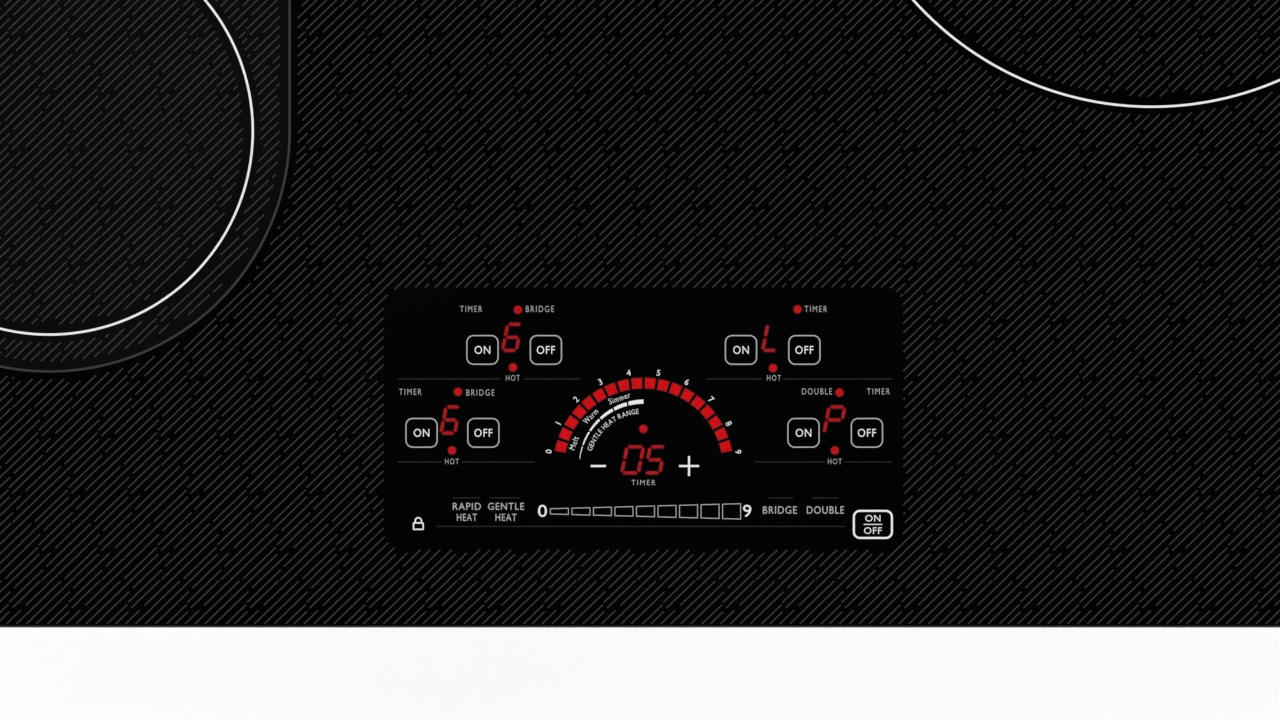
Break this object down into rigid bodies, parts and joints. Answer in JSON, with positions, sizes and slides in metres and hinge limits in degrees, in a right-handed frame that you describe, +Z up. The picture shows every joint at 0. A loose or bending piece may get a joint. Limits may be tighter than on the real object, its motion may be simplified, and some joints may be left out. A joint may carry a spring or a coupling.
{
  "type": "electric induction cooktop",
  "caption": "Flush glass induction cooktop with round cooking zones, a touch control panel, and a shallow steel box of sprung coils and blowers that drops into a worktop.",
  "frame": {"origin": "underside of the burner box, below the middle of the glass", "axes": "+Z up, +X to the user's right, +Y to the rear; the front edge of the glass faces -Y"},
  "size_m": [0.781, 0.546, 0.0836],
  "materials": {
    "glass": "black glass-ceramic, polished",
    "gasket": "closed-cell foam",
    "galvanised": "galvanised sheet with a fine spangle",
    "fastener": "bright zinc",
    "bush": "moulded, matt",
    "aluminium": "rolled",
    "carrier": "moulded, heat resistant",
    "copper": "bundled enamelled wire",
    "mat": "ceramic fibre felt",
    "sensor": "unglazed",
    "spring": "drawn wire",
    "fan": "moulded, matt",
    "circuit": "solder mask",
    "heatsink": "extruded",
    "terminal": "moulded",
    "tray": "moulded, matt",
    "clamp": "zinc plated"
  },
  "bodies": {
    "housing": {"glass_top": "glass", "worktop_gasket": "gasket", "glass_frame": "galvanised", "frame_screw_front_left": "fastener", "frame_screw_front_right": "fastener", "frame_screw_rear_left": "fastener", "frame_screw_rear_right": "fastener", "burner_box": "galvanised", "conduit_gland": "bush", "support_rail_left": "galvanised", "support_rail_middle": "galvanised", "support_rail_right": "galvanised", "lift_spring_left_1": "spring", "lift_spring_left_2": "spring", "lift_spring_left_3": "spring", "lift_spring_left_4": "spring", "lift_spring_right_1": "spring", "lift_spring_right_2": "spring", "lift_spring_right_3": "spring", "lift_spring_right_4": "spring", "fan_housing_left": "fan", "fan_housing_right": "fan", "power_board_left": "circuit", "power_board_right": "circuit", "heatsink_left": "heatsink", "heatsink_right": "heatsink", "filter_board": "circuit", "terminal_block": "terminal", "control_tray": "tray", "touch_board": "circuit", "light_shield": "tray", "clamp_bracket_left": "clamp", "clamp_bracket_right": "clamp"},
    "coil_raft_left": {"coil_plate_left": "aluminium", "coil_carrier_left_front": "carrier", "coil_carrier_left_rear": "carrier", "winding_left_front": "copper", "winding_left_rear": "copper", "insulation_mat_left_front": "mat", "insulation_mat_left_rear": "mat", "pan_sensor_left_front": "sensor", "pan_sensor_left_rear": "sensor"},
    "coil_raft_right": {"coil_plate_right": "aluminium", "coil_carrier_centre_rear": "carrier", "coil_carrier_right": "carrier", "winding_centre_rear": "copper", "winding_right_inner": "copper", "winding_right_outer": "copper", "insulation_mat_centre_rear": "mat", "insulation_mat_right": "mat", "pan_sensor_centre_rear": "sensor", "pan_sensor_right": "sensor"},
    "fan_rotor_left": {"fan_rotor_left": "fan"},
    "fan_rotor_right": {"fan_rotor_right": "fan"},
    "clamp_screw_left": {"clamp_screw_left": "fastener"},
    "clamp_nut_left": {"clamp_nut_left": "fastener"},
    "clamp_arm_left": {"clamp_arm_left": "clamp"},
    "clamp_screw_right": {"clamp_screw_right": "fastener"},
    "clamp_nut_right": {"clamp_nut_right": "fastener"},
    "clamp_arm_right": {"clamp_arm_right": "clamp"}
  },
  "joints": [
    {"name": "coil_raft_left_float", "type": "slide", "parent": "housing", "child": "coil_raft_left", "axis": [0, 0, 1], "range_m": [-0.003, 0], "stiffness_N_per_m": 8000, "springref_m": 0.008, "deforming": ["lift_spring_left_1", "lift_spring_left_2", "lift_spring_left_3", "lift_spring_left_4"]},
    {"name": "coil_raft_right_float", "type": "slide", "parent": "housing", "child": "coil_raft_right", "axis": [0, 0, 1], "range_m": [-0.003, 0], "stiffness_N_per_m": 10000, "springref_m": 0.01, "deforming": ["lift_spring_right_1", "lift_spring_right_2", "lift_spring_right_3", "lift_spring_right_4"]},
    {"name": "fan_left_spin", "type": "hinge", "parent": "housing", "child": "fan_rotor_left", "pos_m": [-0.25618, -0.178, 0.0163], "axis": [0, 0, 1], "continuous": true},
    {"name": "fan_right_spin", "type": "hinge", "parent": "housing", "child": "fan_rotor_right", "pos_m": [0.26382, -0.178, 0.0163], "axis": [0, 0, 1], "continuous": true},
    {"name": "clamp_left_turn", "type": "hinge", "parent": "housing", "child": "clamp_screw_left", "pos_m": [-0.3694, 0, 0.033], "axis": [0, 0, -1], "range_deg": [0, 16200]},
    {"name": "clamp_left_lift", "type": "slide", "parent": "housing", "child": "clamp_nut_left", "axis": [0, 0, 1], "range_m": [0, 0.036]},
    {"name": "clamp_left_swing", "type": "hinge", "parent": "clamp_nut_left", "child": "clamp_arm_left", "pos_m": [-0.3694, 0, 0.0156], "axis": [0, 0, 1], "range_deg": [0, 90]},
    {"name": "clamp_right_turn", "type": "hinge", "parent": "housing", "child": "clamp_screw_right", "pos_m": [0.3694, 0, 0.033], "axis": [0, 0, -1], "range_deg": [0, 16200]},
    {"name": "clamp_right_lift", "type": "slide", "parent": "housing", "child": "clamp_nut_right", "axis": [0, 0, 1], "range_m": [0, 0.036]},
    {"name": "clamp_right_swing", "type": "hinge", "parent": "clamp_nut_right", "child": "clamp_arm_right", "pos_m": [0.3694, 0, 0.0156], "axis": [0, 0, -1], "range_deg": [0, 90]}
  ],
  "couplings": [
    {"joint": "clamp_left_turn", "follows": "clamp_left_lift", "rad_per_m": 7854},
    {"joint": "clamp_right_turn", "follows": "clamp_right_lift", "rad_per_m": 7854}
  ]
}
